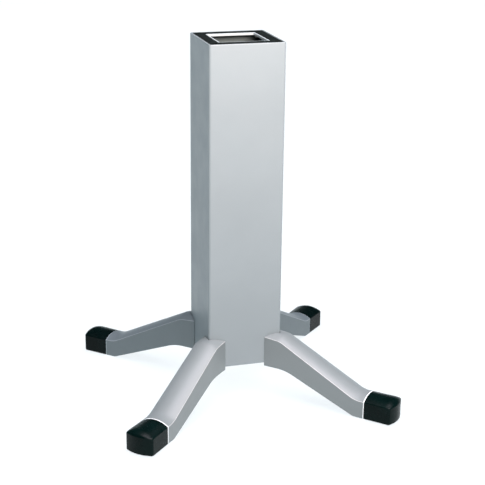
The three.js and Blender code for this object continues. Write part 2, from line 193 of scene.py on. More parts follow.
def new_object(name, vertices, faces):
    """An object from vertices in millimetres, with doubles merged and its faces turned outwards."""
    bm = bmesh.new()
    made = [bm.verts.new(Vector(v) * MM) for v in vertices]
    for face in faces:
        corners = [made[i] for i in face]
        bm.faces.new(corners)
    bmesh.ops.remove_doubles(bm, verts=bm.verts, dist=1e-6)
    bmesh.ops.dissolve_degenerate(bm, edges=bm.edges, dist=1e-7)
    bmesh.ops.delete(bm, geom=[edge for edge in bm.edges if not edge.link_faces], context="EDGES")
    bmesh.ops.recalc_face_normals(bm, faces=bm.faces)
    mesh = bpy.data.meshes.new(name)
    bm.to_mesh(mesh)
    bm.free()
    obj = bpy.data.objects.new(name, mesh)
    bpy.context.scene.collection.objects.link(obj)
    return obj


def ring_faces(rings, size, closed=False):
    """Quads between rings of one size that follow each other in the vertex list."""
    faces = []
    for k in range(rings if closed else rings - 1):
        a, b = k * size, (k + 1) % rings * size
        for j in range(size):
            n = (j + 1) % size
            faces.append((a + j, a + n, b + n, b + j))
    return faces


def loft(name, rings, closed=False):
    """A solid through rings of 3D points: closed on itself, or with a flat face on each end."""
    size = len(rings[0])
    faces = ring_faces(len(rings), size, closed)
    if not closed:
        last = (len(rings) - 1) * size
        faces += [tuple(range(size)), tuple(range(last, last + size))]
    return new_object(name, [p for ring in rings for p in ring], faces)


def square_solid(name, profile, corner_of):
    """A square ring: profile is its closed section as (half width, height, fillet)."""
    rings = []
    for point in filleted(profile):
        rings.append([(p.x, p.y, point.y) for p in rounded_square(point.x, corner_of(point.x))])
    return loft(name, rings, closed=True)


def turned(name, profile, steps=48):
    """A turned solid: profile is its closed section as (radius, height, fillet)."""
    rings = []
    for point in filleted(profile):
        rings.append([(p.x, p.y, point.y) for p in circle(max(point.x, 0.0), steps)])
    return loft(name, rings, closed=True)


def hexagon(name, across_flats, low, high):
    radius = across_flats / math.sqrt(3)
    return loft(name, [[(p.x, p.y, z) for p in circle(radius, 6)] for z in (low, high)])


def place(obj, matrix):
    obj.data.transform(matrix)
    return obj


def moved(obj, x=0.0, y=0.0, z=0.0):
    return place(obj, Matrix.Translation(Vector((x, y, z)) * MM))


def evaluated_mesh(obj):
    bpy.context.view_layer.update()
    return bpy.data.meshes.new_from_object(obj.evaluated_get(bpy.context.evaluated_depsgraph_get()))


def apply_modifiers(obj):
    mesh = evaluated_mesh(obj)
    obj.modifiers.clear()
    obj.data = mesh
    return obj


def welded(obj):
    """Merges the doubled corners that a boolean can leave."""
    bm = bmesh.new()
    bm.from_mesh(obj.data)
    bmesh.ops.remove_doubles(bm, verts=bm.verts, dist=2e-6)
    bm.to_mesh(obj.data)
    bm.free()
    return obj


def combine(obj, other, operation):
    """Joins other to obj, cuts it away or keeps what they share; other is used up."""
    modifier = obj.modifiers.new("combine", "BOOLEAN")
    modifier.operation = operation
    modifier.solver = "EXACT"
    modifier.object = other
    apply_modifiers(obj)
    bpy.data.objects.remove(other)
    return welded(obj)


def cut(obj, *others):
    for other in others:
        combine(obj, other, "DIFFERENCE")
    return obj


def soften(obj, width):
    """Rounds the edges sharper than 35 degrees."""
    modifier = obj.modifiers.new("soften", "BEVEL")
    modifier.width = width * MM
    modifier.segments = 2
    modifier.limit_method = "ANGLE"
    modifier.angle_limit = math.radians(35)
    modifier.use_clamp_overlap = True
    modifier.miter_outer = "MITER_ARC"
    return apply_modifiers(obj)


def smooth(obj):
    """Smooth shading, with the edges sharper than 32 degrees kept sharp."""
    obj.data.shade_smooth()
    obj.data.set_sharp_from_angle(angle=math.radians(32))
    modifier = obj.modifiers.new("weighted_normals", "WEIGHTED_NORMAL")
    modifier.keep_sharp = True
    modifier.weight = 90


def rod(radius, low, high, x=0.0, y=0.0, steps=32):
    """An upright round cutter."""
    obj = loft("cutter", [[(p.x, p.y, z) for p in circle(radius, steps)] for z in (low, high)])
    return moved(obj, x, y)


def level_rod(radius, start, end, height, angle=0.0, steps=32):
    """A round cutter along a leg's length."""
    obj = rod(radius, start, end, steps=steps)
    place(obj, Matrix.Rotation(math.pi / 2, 4, "Y"))
    moved(obj, z=height)
    return place(obj, Matrix.Rotation(math.radians(angle), 4, "Z"))


def slab(x0, x1, half, z0, z1):
    ring = [(x0, -half), (x1, -half), (x1, half), (x0, half)]
    return loft("slab", [[(x, y, z) for x, y in ring] for z in (z0, z1)])


# ---- Leg shape, in a leg's own frame: x runs outwards from the column's axis ----

# The bends of the leg's side view, as (x, height, fillet).
SHOULDER = (117.0, 124.5, 25.0)
TIP_BEND = (285.7, TIP_TOP, 50.0)
HEEL_BEND = (130.0, HEEL_BOTTOM, 90.0)
TOE_BEND = (283.5, LEG_UNDERSIDE, 15.0)
LINE_END = 400.0
LINE_STEP = math.radians(1.5)

TOP_LINE = filleted(
    [(LEG_INNER, HEEL_TOP, 0), SHOULDER, TIP_BEND, (LINE_END, TIP_TOP, 0)],
    closed=False, step=LINE_STEP)
BOTTOM_LINE = filleted(
    [(0, HEEL_BOTTOM, 0), HEEL_BEND, TOE_BEND, (LINE_END, LEG_UNDERSIDE, 0)],
    closed=False, step=LINE_STEP)

# Points of a section's right half: two on the bottom, an arc, the waist, an arc and the crown.
LOW_ARC_STEPS = 4
HIGH_ARC_STEPS = 6
CROWN_STEPS = 10
SECTION_TOP = LOW_ARC_STEPS + HIGH_ARC_STEPS + CROWN_STEPS + 4     # index of the crown's middle
SECTION_SIZE = 2 * SECTION_TOP
LEG_LOW_FILLET = 1.2
LEG_HIGH_FILLET = 1.6
LEG_EDGE = 1.3                         # rounding of the leg's outer end


def crown_at(x):
    """How far the leg's top rises in its middle."""
    t = max(0.0, min(1.0, (x - LEG_INNER) / (LEG_END - LEG_INNER)))
    return LEG_CROWN_AT_COLUMN + t * (LEG_CROWN_AT_END - LEG_CROWN_AT_COLUMN)


def half_width(x):
    """Half the width of the leg and its cap."""
    corner = COLUMN_HALF * math.sqrt(2)
    t = max(0.0, (x - corner) / (LEG_END - corner))
    return LEG_HALF_AT_COLUMN + t * (LEG_HALF_AT_END - LEG_HALF_AT_COLUMN)


def crowned_section(half, low, high, crown, low_fillet, high_fillet, waist):
    """(side, height) points round a leg's section, from the bottom's middle up the right side and back
    down the left: a flat bottom, upright sides with a point at the waist, and a crowned top."""
    right = [(0.0, low), (half * 0.5, low)]
    for k in range(LOW_ARC_STEPS + 1):
        angle = math.pi / 2 * (k / LOW_ARC_STEPS - 1)
        side = half - low_fillet * (1 - math.cos(angle))
        right.append((side, low + low_fillet * (1 + math.sin(angle))))
    right.append((half, waist))
    crown_r = (half ** 2 + crown ** 2) / (2 * crown)
    middle = high + crown - crown_r
    rise = math.sqrt((crown_r - high_fillet) ** 2 - (half - high_fillet) ** 2)
    start = math.atan2(rise, half - high_fillet)
    for k in range(HIGH_ARC_STEPS + 1):
        angle = start * k / HIGH_ARC_STEPS
        side = half - high_fillet * (1 - math.cos(angle))
        right.append((side, middle + rise + high_fillet * math.sin(angle)))
    for k in range(1, CROWN_STEPS + 1):
        angle = start + (math.pi / 2 - start) * k / CROWN_STEPS
        right.append((crown_r * math.cos(angle), middle + crown_r * math.sin(angle)))
    left = [(-side, height) for side, height in reversed(right[1:-1])]
    return right + left


def leg_ring(station, fade, inset=0.0):
    """One section of the leg. Next to the column its points lie back along the V notch, by fade."""
    half = half_width(station) - inset

    def section_at(low, high, crown):
        return crowned_section(half, low, high, crown, LEG_LOW_FILLET, LEG_HIGH_FILLET, (low + high) / 2)

    ring = []
    any_low, any_high = 0, 50          # a section's sideways positions don't depend on its heights
    for j, (side, _) in enumerate(section_at(any_low, any_high, LEG_CROWN_AT_END)):
        x = station - abs(side) * fade
        low = height_on(BOTTOM_LINE, x) + inset
        high = height_on(TOP_LINE, x) - inset
        ring.append((x, *section_at(low, high, crown_at(x))[j]))
    return ring


def leg_body():
    """The cast leg's outer shape, with the V notch for the column's corner."""
    rings = []
    blend_length = 34.0                # over which the slanted sections turn upright
    rim = 0.7                          # rounding of the edge along the notch
    for k in (3, 2, 1):
        turn = math.pi / 2 * k / 3
        rings.append(leg_ring(LEG_APEX + rim * (1 - math.sin(turn)), 1.0, rim * (1 - math.cos(turn))))
    stations = 64
    first, last = LEG_APEX + rim, LEG_END - LEG_EDGE
    for k in range(stations + 1):
        station = first + (last - first) * k / stations
        rings.append(leg_ring(station, max(0.0, 1 - (station - first) / blend_length)))
    for k in (1, 2, 3):
        turn = math.pi / 2 * k / 3
        rings.append(leg_ring(last + LEG_EDGE * math.sin(turn), 0.0, LEG_EDGE * (1 - math.cos(turn))))
    faces = ring_faces(len(rings), SECTION_SIZE)
    last_ring = (len(rings) - 1) * SECTION_SIZE
    faces.append(tuple(range(last_ring, last_ring + SECTION_SIZE)))
    faces.append(tuple(range(SECTION_TOP + 1)))
    faces.append(tuple(range(SECTION_TOP, SECTION_SIZE)) + (0,))
    return new_object("leg_body", [p for ring in rings for p in ring], faces)


def leg_hollow():
    """The space under the casting's walls, open at the bottom."""
    rings = []
    start, end, below = 134.0, LEG_END - 10, -20.0
    stations = 30
    extra_roof = 3.0                   # how much thicker the wall is over the hollow's inner end
    flatter = 0.8                      # the hollow's crown as a share of the leg's
    for k in range(stations + 1):
        x = start + (end - start) * k / stations
        high = height_on(TOP_LINE, x) - LEG_WALL - extra_roof * (1 - k / stations)
        half = half_width(x) - LEG_WALL
        section = crowned_section(
            half, below, high, crown_at(x) * flatter, low_fillet=0.5, high_fillet=6.0, waist=0.0)
        rings.append([(x, side, height) for side, height in section])
    return loft("hollow", rings)


def countersink(x):
    """The cutter for a countersunk leg bolt."""
    head_r, head_height = LEG_BOLT_HEAD
    low, past = HEEL_BOTTOM - CUT_PAST, TAB_TOP + CUT_PAST
    cutter = turned("cutter", [
        (0, low, 0), (head_r + GAP, low, 0), (head_r + GAP, HEEL_BOTTOM + GAP, 0),
        (LEG_BOLT_HOLE_R, HEEL_BOTTOM + head_height + GAP, 0), (LEG_BOLT_HOLE_R, past, 0), (0, past, 0),
    ], steps=32)
    return moved(cutter, x)


def leg_mesh():
    """The finished leg: body, tab under the column, tongue for the cap and foot, hollow and holes."""
    leg = leg_body()
    rounding = 0.6
    tongue_low, tongue_high = TONGUE["low"], TONGUE["high"]
    tab = slab(LEG_INNER, LEG_APEX + LEG_WALL, TAB_HALF, HEEL_BOTTOM + 0.1, TAB_TOP)
    tongue = slab(LEG_END - LEG_WALL, TONGUE["end"], TONGUE["half"], tongue_low, tongue_high)
    combine(leg, soften(tab, rounding), "UNION")
    combine(leg, soften(tongue, rounding), "UNION")
    cut(
        leg,
        leg_hollow(),
        rod(STUD_HOLE_R, tongue_low - CUT_PAST, tongue_high + CUT_PAST, FOOT_AT),
        rod(CAP_SCREW_HOLE_R, tongue_low - CUT_PAST, tongue_high - 4, CAP_SCREW_AT),
        level_rod(CORNER_HOLE_R, COLUMN_HALF, CORNER_HOLE_END, CORNER_BOLT_Z),
        *[countersink(x) for x in LEG_BOLTS_AT.values()],
    )
    finish_leg(leg)
    return leg


def finish_leg(leg):
    """Paint, with a bright rim at the cap's end and a lighter line along the crowned top's creases, both
    painted highlights.
    """
    leg.data.materials.append(LEG_PAINT)
    leg.data.materials.append(LEG_RIM_HIGHLIGHT)
    leg.data.materials.append(LEG_CREASE_HIGHLIGHT)
    # Material numbers of the rim's and the creases' painted highlights.
    rim_highlight, crease_highlight = 1, 2
    crease_width, crease_height = 1.5, 2.2
    notch_reach = 30                   # more than the flanks reach back beside the column
    for face in leg.data.polygons:
        x, y, z = face.center / MM
        at_side = abs(y) > half_width(x) - crease_width
        at_top = z > height_on(TOP_LINE, x) - crease_height
        rounded = 0.2 < abs(face.normal.y) < 0.96
        if at_side and at_top and rounded and LEG_APEX - notch_reach < x < LEG_END - LEG_EDGE:
            face.material_index = crease_highlight
        on_rim = LEG_END - LEG_EDGE < x < LEG_END - 0.01
        on_tongue = TONGUE["low"] - 1 < z < TONGUE["high"] + 1
        if on_rim and not (on_tongue and abs(y) < half_width(LEG_END) - LEG_WALL):
            face.material_index = rim_highlight


# ---- End cap ----

CAP_END_CROWN = 0.5                    # what is left of the crown at the end face


def cap_crown(share):
    """Height of the cap's crown, for a share of the whole crown."""
    return CAP_END_CROWN + (LEG_CROWN_AT_END - CAP_END_CROWN) * share


def cap_ring(station, bulge, side_inset=0.0, height_inset=0.0, push=0.0):
    """One section of the end cap, which stands out by bulge in its middle. The insets shrink it, and
    push moves it outwards without changing its width."""
    full = half_width(station)
    nose = max(0.0, min(1.0, (station + push - CAP_END + CAP_NOSE) / CAP_NOSE))
    low, high = LEG_UNDERSIDE + height_inset, TIP_TOP - height_inset
    crown = cap_crown(1 - nose * nose)
    section = crowned_section(
        full - side_inset, low, high, crown, CAP_LOW_FILLET, CAP_HIGH_FILLET, CAP_WAIST)
    return [(station + push + bulge * (1 - (side / full) ** 2), side, height)
            for side, height in section]


def cap_body():
    """The cap's outer shape, from its open end to the closing rings on the bulged end face."""
    rings = []
    edge = 0.7
    for k in (0, 1, 2):
        turn = math.pi / 2 * k / 3
        inset = edge * (1 - math.sin(turn))
        rings.append(cap_ring(CAP_START + edge * (1 - math.cos(turn)), 0.0, inset, inset))
    straight = 28
    face = CAP_END - CAP_SHOULDER
    for k in range(straight + 1):
        t = k / straight
        station = CAP_START + edge + (face - CAP_START - edge) * t
        rings.append(cap_ring(station, CAP_BULGE * max(0.0, t * 2 - 1) ** 2))
    shoulder_steps = 8
    for k in range(1, shoulder_steps + 1):
        turn = math.pi / 2 * k / shoulder_steps
        inset = CAP_SHOULDER * (1 - math.cos(turn))
        rings.append(cap_ring(face, CAP_BULGE, inset, inset * 0.25, CAP_SHOULDER * math.sin(turn)))
    outer = rings[-1]
    full = half_width(CAP_END)
    for share in (0.85, 0.65, 0.45, 0.25, 0.1):
        ring = []
        for _, side, height in outer:
            across = side * share
            x = CAP_END + CAP_BULGE * (1 - (across / full) ** 2)
            ring.append((x, across, CAP_MIDDLE + (height - CAP_MIDDLE) * share))
        rings.append(ring)
    return loft("cap_body", rings)


def cap_hollow():
    """The cutter for the inside of the cap, which begins before the cap's open end."""
    rings = []
    start, end = CAP_START - 5, CAP_END - 2 * CAP_WALL
    low, high = LEG_UNDERSIDE + CAP_FLOOR, TIP_TOP - CAP_WALL
    steps = 6
    for k in range(steps + 1):
        x = start + (end - start) * k / steps
        crown = cap_crown(min(1.0, (CAP_END - x) / (2 * CAP_NOSE)))
        section = crowned_section(
            half_width(x) - CAP_WALL, low, high, crown, low_fillet=1.0, high_fillet=3.0, waist=CAP_WAIST)
        rings.append([(x, side, height) for side, height in section])
    return loft("hollow", rings)


def cap_mesh():
    """The cap with its screw boss and the openings for the foot and the screw."""
    boss_r, foot_opening_r, head_opening_r, head_seat = 6, 18.5, 4.9, LEG_UNDERSIDE + 3.8
    below = -CUT_PAST
    cap = cap_body()
    cut(cap, cap_hollow())
    combine(cap, rod(boss_r, LEG_UNDERSIDE + 0.4, TONGUE["low"] - GAP, CAP_SCREW_AT), "UNION")
    cut(
        cap,
        rod(foot_opening_r, below, LEG_UNDERSIDE + 5, FOOT_AT, steps=64),
        rod(head_opening_r, below, head_seat, CAP_SCREW_AT),
        rod(CAP_SCREW_HOLE_R, below, TONGUE["low"] + CUT_PAST, CAP_SCREW_AT),
    )
    return cap


# ---- Screws, nuts and feet ----

def with_socket(screw, across_flats, head_height):
    """The screw with a hexagon socket in the head that it stands on."""
    return cut(screw, hexagon("cutter", across_flats, -CUT_PAST, head_height * 0.55))


def cap_screw(head_r, head_height, shank_r, length, socket):
    """A socket head screw standing on its head at height 0."""
    end = head_height + length
    tip = min(1.0, shank_r * 0.25)
    screw = turned("screw", [
        (0, 0, 0), (head_r, 0, 0.6), (head_r, head_height, 0.3), (shank_r, head_height, 0),
        (shank_r, end - tip, 0), (shank_r - tip, end, 0), (0, end, 0),
    ])
    return with_socket(screw, socket, head_height)


def countersunk_screw(shank_r, length, socket):
    """A countersunk screw with the flat of its head at height 0."""
    head_r, head_height = LEG_BOLT_HEAD
    end = head_height + length
    screw = turned("screw", [
        (0, 0, 0), (head_r, 0, 0.3), (shank_r, head_height, 0),
        (shank_r, end - 1, 0), (shank_r - 1, end, 0), (0, end, 0),
    ])
    return with_socket(screw, socket, head_height)


def nut(across_flats, low, high, hole_r):
    """A hexagon nut with its corners turned off on both sides."""
    corner = across_flats / math.sqrt(3)
    flat = across_flats / 2 - 0.2
    rise = (corner - flat) * math.tan(math.radians(30))
    body = hexagon("nut", across_flats, low, high)
    turning = turned("cutter", [
        (0, low, 0), (flat, low, 0), (corner + 0.1, low + rise, 0), (corner + 0.1, high - rise, 0),
        (flat, high, 0), (0, high, 0),
    ])
    combine(body, turning, "INTERSECT")
    return cut(body, rod(hole_r, low - CUT_PAST, high + CUT_PAST))


def threaded_shank(low, high, radius, pitch):
    """A round shank with a real helical thread, its tip tapered."""
    around, per_turn = 32, 6
    steps = round((high - low) / pitch * per_turn)
    depth = pitch * 0.5
    rings = []
    for k in range(steps + 1):
        z = low + (high - low) * k / steps
        taper = min(1.0, (high - z) / pitch, (z - low) / pitch)
        ring = []
        for j in range(around):
            phase = (z / pitch - j / around) % 1.0
            groove = depth * (1 - abs(2 * phase - 1)) * taper
            r = radius - groove - 0.8 * max(0.0, 1 - (high - z) / pitch)
            angle = 2 * math.pi * j / around
            ring.append((r * math.cos(angle), r * math.sin(angle), z))
        rings.append(ring)
    return loft("shank", rings)


def stud_mesh():
    """A levelling stud: the neck in the pad's socket, a hexagon collar and the threaded shank."""
    stud = nut(across_flats=14, low=PAD_HEIGHT + GAP, high=STUD_COLLAR_TOP, hole_r=3.0)
    neck_low, neck_high = PAD_SOCKET + GAP, STUD_COLLAR_TOP - 1
    neck = turned("neck", [
        (0, neck_low, 0), (STUD_R, neck_low, 0.8), (STUD_R, neck_high, 0), (0, neck_high, 0),
    ])
    combine(stud, neck, "UNION")
    combine(stud, threaded_shank(STUD_COLLAR_TOP - 1.5, STUD_TOP, STUD_R, THREAD_PITCH), "UNION")
    return stud


def pad_mesh():
    """A foot pad with a socket for the stud and shallow grip rings on its underside."""
    underside = [(0, 0.0, 0)]
    for ring in range(3):
        inner = 4.0 + 4.0 * ring
        for out, height in ((0.0, 0.0), (0.4, 0.7), (1.4, 0.7), (1.8, 0.0)):
            underside.append((inner + out, height, 0.15))
    return turned("pad", underside + [
        (PAD_R - 0.8, 0.0, 0.5), (PAD_R, 1.2, 0.6), (PAD_R, PAD_HEIGHT - 2.5, 0.8),
        (PAD_R - 2.5, PAD_HEIGHT, 0.6), (STUD_R + GAP, PAD_HEIGHT, 0.3),
        (STUD_R + GAP, PAD_SOCKET, 0), (0, PAD_SOCKET, 0),
    ], steps=64)


def washer_mesh():
    """The wedge under a diagonal bolt's head, with flanks that fit the tube's inner corner."""
    flank = INSERT_HALF * math.sqrt(2)
    face, nose, half_height = 87.0, 97.0, 12.0
    ring = [(face, face - flank), (nose, nose - flank), (nose, flank - nose), (face, flank - face)]
    levels = (CORNER_BOLT_Z - half_height, CORNER_BOLT_Z + half_height)
    washer = loft("washer", [[(x, y, z) for x, y in ring] for z in levels])
    return cut(washer, level_rod(CORNER_HOLE_R, face - CUT_PAST, nose + CUT_PAST, CORNER_BOLT_Z))


# ---- Finishes ----

def node(tree, kind, inputs=None, **settings):
    made = tree.nodes.new(kind)
    for name, value in settings.items():
        setattr(made, name, value)
    for name, value in (inputs or {}).items():
        feed(tree, made.inputs[name], value)
    return made


def noise(tree, where, scale, detail=3.0, roughness=0.55):
    """Noise from 0 to 1, with scale in waves per metre."""
    return node(tree, "ShaderNodeTexNoise", {
        "Vector": where, "Scale": scale, "Detail": detail, "Roughness": roughness}).outputs["Fac"]


def ramp(tree, fac, low, high, to_low=0.0, to_high=1.0):
    return node(tree, "ShaderNodeMapRange", {
        "Value": fac, "From Min": low, "From Max": high, "To Min": to_low, "To Max": to_high},
        interpolation_type="SMOOTHSTEP").outputs["Result"]


def feed(tree, socket, value):
    """Links or sets an input."""
    if isinstance(value, bpy.types.NodeSocket):
        tree.links.new(value, socket)
    else:
        socket.default_value = value


def blend(tree, fac, a, b):
    """A colour between a and b."""
    made = node(tree, "ShaderNodeMix", data_type="RGBA", clamp_factor=True)
    for name, kind, value in (("Factor", "VALUE", fac), ("A", "RGBA", a), ("B", "RGBA", b)):
        feed(tree, next(s for s in made.inputs if s.name == name and s.type == kind), value)
    return next(s for s in made.outputs if s.type == "RGBA")


def maths(tree, operation, a, b, clamp=False):
    made = node(tree, "ShaderNodeMath", operation=operation, use_clamp=clamp)
    for socket, value in zip(made.inputs, (a, b)):
        feed(tree, socket, value)
    return made.outputs[0]


def edge_mask(tree, radius, low, high):
    """1 on edges, 0 on flat faces: how far the rounded normal turns from the true one."""
    rounded = node(tree, "ShaderNodeBevel", {"Radius": radius * MM}, samples=6).outputs["Normal"]
    true = node(tree, "ShaderNodeNewGeometry").outputs["Normal"]
    dot = node(tree, "ShaderNodeVectorMath", operation="DOT_PRODUCT")
    tree.links.new(rounded, dot.inputs[0])
    tree.links.new(true, dot.inputs[1])
    turned_away = maths(tree, "SUBTRACT", 1.0, dot.outputs["Value"], clamp=True)
    return ramp(tree, turned_away, low, high)


def new_material(name, colour, roughness, metallic=0.0, specular=0.5):
    """A material's node tree, its Principled shader and the object coordinates to texture by."""
    material = bpy.data.materials.new(name)
    material.use_nodes = True
    tree = material.node_tree
    shader = tree.nodes["Principled BSDF"]
    shader.inputs["Base Color"].default_value = (*colour, 1.0)
    shader.inputs["Roughness"].default_value = roughness
    shader.inputs["Metallic"].default_value = metallic
    shader.inputs["Specular IOR Level"].default_value = specular
    where = node(tree, "ShaderNodeTexCoord").outputs["Object"]
    return material, tree, shader, where


def shade(colour, factor):
    return (*[c * factor for c in colour], 1.0)


def bump(tree, shader, height, strength, distance):
    made = node(tree, "ShaderNodeBump", {
        "Height": height, "Strength": strength, "Distance": distance * MM})
    tree.links.new(made.outputs["Normal"], shader.inputs["Normal"])


def painted(name, colour, roughness, peel, edges):
    """Powder coat: fine orange peel, faint clouds and specks, and edges brightened in patches, partly as
    wear and partly as a painted highlight.
    Peel is the bump's strength, and edges how much brighter such an edge is."""
    material, tree, shader, where = new_material(name, colour, roughness)
    clouds = ramp(tree, noise(tree, where, 7.0, 4.0), 0.3, 0.7)
    specks = ramp(tree, noise(tree, where, 2600.0, 1.0), 0.35, 0.65)
    base = blend(tree, clouds, shade(colour, 0.965), shade(colour, 1.03))
    base = blend(tree, maths(tree, "MULTIPLY", specks, 0.35), base, shade(colour, 0.94))
    # Edges brightened in patches: partly wear, partly a painted highlight along every rounded edge.
    patchy_brightening = ramp(tree, noise(tree, where, 60.0, 5.0), 0.25, 0.6, 0.45, 1.0)
    wear_and_highlight_mask = maths(tree, "MULTIPLY", edge_mask(tree, 1.2, 0.02, 0.2), patchy_brightening)
    base = blend(tree, wear_and_highlight_mask, base, shade(colour, edges))
    tree.links.new(base, shader.inputs["Base Color"])
    rough = ramp(tree, noise(tree, where, 22.0, 4.0), 0.25, 0.75, roughness - 0.04, roughness + 0.05)
    tree.links.new(rough, shader.inputs["Roughness"])
    bump(tree, shader, noise(tree, where, 620.0, 2.0, 0.4), peel, 0.05)
    return material


def moulded(name, colour, roughness, grain, scuff, specular):
    """Moulded plastic or rubber: a fine spark-eroded grain, mould flow clouds and rubbed edges.
    Grain is the bump's strength, and scuff how strongly the edges show."""
    material, tree, shader, where = new_material(name, colour, roughness, specular=specular)
    clouds = ramp(tree, noise(tree, where, 30.0, 5.0), 0.3, 0.72)
    base = blend(tree, clouds, shade(colour, 0.8), shade(colour, 1.25))
    patches = ramp(tree, noise(tree, where, 140.0, 4.0), 0.4, 0.7)
    patchy_brightening = maths(tree, "MULTIPLY", edge_mask(tree, 0.9, 0.0, 0.25), patches)
    base = blend(tree, maths(tree, "MULTIPLY", patchy_brightening, scuff), base, shade(colour, 2.6))
    tree.links.new(base, shader.inputs["Base Color"])
    rough = ramp(tree, noise(tree, where, 55.0, 4.0), 0.25, 0.75, roughness - 0.06, roughness + 0.07)
    tree.links.new(rough, shader.inputs["Roughness"])
    bump(tree, shader, noise(tree, where, 1500.0, 2.0, 0.6), grain, 0.04)
    return material


def plated(name, colour, roughness):
    """Zinc plating: bright, faintly clouded, with fine drawn lines."""
    material, tree, shader, where = new_material(name, colour, roughness, metallic=1.0)
    clouds = ramp(tree, noise(tree, where, 45.0, 5.0), 0.3, 0.7)
    base = blend(tree, clouds, shade(colour, 0.85), shade(colour, 1.1))
    tree.links.new(base, shader.inputs["Base Color"])
    rough = ramp(tree, noise(tree, where, 90.0, 4.0), 0.25, 0.75, roughness - 0.08, roughness + 0.1)
    tree.links.new(rough, shader.inputs["Roughness"])
    lines = node(tree, "ShaderNodeMapping", {"Vector": where, "Scale": (1800.0, 60.0, 60.0)})
    bump(tree, shader, noise(tree, lines.outputs["Vector"], 1.0, 2.0), 0.15, 0.03)
    return material


COLUMN_PAINT = painted(
    "column_paint", (0.178, 0.221, 0.241), roughness=0.42, peel=0.10, edges=1.9)
# A darker copy of the column's paint for the tube's inside: painted shade.
INNER_SHADE_PAINT = painted(
    "column_inner_painted_shade", (0.088, 0.125, 0.132), roughness=0.6, peel=0.10, edges=1.0)
# A lighter copy of the column's paint for the plate and its collar, which sit in the tube's dim mouth:
# painted light.
PLATE_LIT_PAINT = painted(
    "top_plate_painted_light", (0.36, 0.44, 0.47), roughness=0.45, peel=0.10, edges=1.1)
LEG_PAINT = painted(
    "leg_paint", (0.146, 0.179, 0.190), roughness=0.42, peel=0.20, edges=2.2)
# Lighter copies of the leg's paint, for the rim at the cap's end and the line along the top's creases:
# painted highlights.
LEG_RIM_HIGHLIGHT = painted(
    "leg_rim_painted_highlight", (0.68, 0.78, 0.82), roughness=0.4, peel=0.1, edges=1.0)
LEG_CREASE_HIGHLIGHT = painted(
    "leg_crease_painted_highlight", (0.34, 0.375, 0.39), roughness=0.4, peel=0.15, edges=1.0)
CAP_PLASTIC = moulded(
    "cap_plastic", (0.0005, 0.0044, 0.0042), roughness=0.28, grain=0.25, scuff=0.5, specular=0.09)
FRAME_PLASTIC = moulded(
    "frame_plastic", (0.0042, 0.0066, 0.0066), roughness=0.6, grain=0.25, scuff=0.3, specular=0.06)
RUBBER = moulded(
    "rubber", (0.018, 0.018, 0.018), roughness=0.75, grain=0.5, scuff=0.4, specular=0.3)
STEEL = plated("steel", (0.52, 0.52, 0.51), roughness=0.32)


# ---- Pieces ----

def finish_piece(obj, name, body, slot, material, *nodes):
    """Names and shades a piece, and has it ride its body in place of the CAD nodes."""
    obj.name = obj.data.name = name
    if not obj.data.materials:
        obj.data.materials.append(material)
    smooth(obj)
    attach(obj, body)
    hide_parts(*nodes)


def copy_of(obj, matrix):
    copy = obj.copy()
    copy.data = obj.data.copy()
    bpy.context.scene.collection.objects.link(copy)
    return place(copy, matrix)


def column_corner(half):
    """Corner radius of the column's section, outside and inside."""
    return max(1.0, COLUMN_CORNER - (COLUMN_HALF - half))


def build_column():
    inner = COLUMN_HALF - COLUMN_WALL
    column = square_solid("column", [
        (COLUMN_HALF, COLUMN_BOTTOM, 0.8), (COLUMN_HALF, COLUMN_TOP, 1.5),
        (inner, COLUMN_TOP, 0.8), (inner, COLUMN_BOTTOM, 0.8),
    ], column_corner)
    for angle in LEG_ANGLES.values():
        inside, outside = 90, 115      # distances from the axis, clear of the wall's corner
        cut(column, level_rod(CORNER_HOLE_R, inside, outside, CORNER_BOLT_Z, angle))
    column.data.materials.append(COLUMN_PAINT)
    column.data.materials.append(INNER_SHADE_PAINT)
    # The faces inside the tube, short of its rims, take the darker copy: painted shade.
    reach = (inner + 0.3) * MM
    rim = 3                            # height of the rims that keep the outer paint
    low, high = (COLUMN_BOTTOM + rim) * MM, (COLUMN_TOP - rim) * MM
    for face in column.data.polygons:
        x, y, z = face.center
        if max(abs(x), abs(y)) < reach and low < z < high:
            face.material_index = 1
    finish_piece(column, "column_shell", "root", "column_paint", COLUMN_PAINT, "column_tube")


def insert_corner(half):
    """Corner radius between a plate's rim and its square opening."""
    t = (INSERT_HALF - half) / (INSERT_HALF - COLLAR_INNER)
    return 1.5 + 1.0 * max(0.0, min(1.0, t))


def top_bolt_holes():
    """Cutters for the four bolts of whatever is fitted on top."""
    low, high = PLATE_BOTTOM - CUT_PAST, COLUMN_TOP + CUT_PAST
    return [rod(TOP_BOLT_R, low, high, sx * TOP_BOLT_XY, sy * TOP_BOLT_XY)
            for sx in (-1, 1) for sy in (-1, 1)]


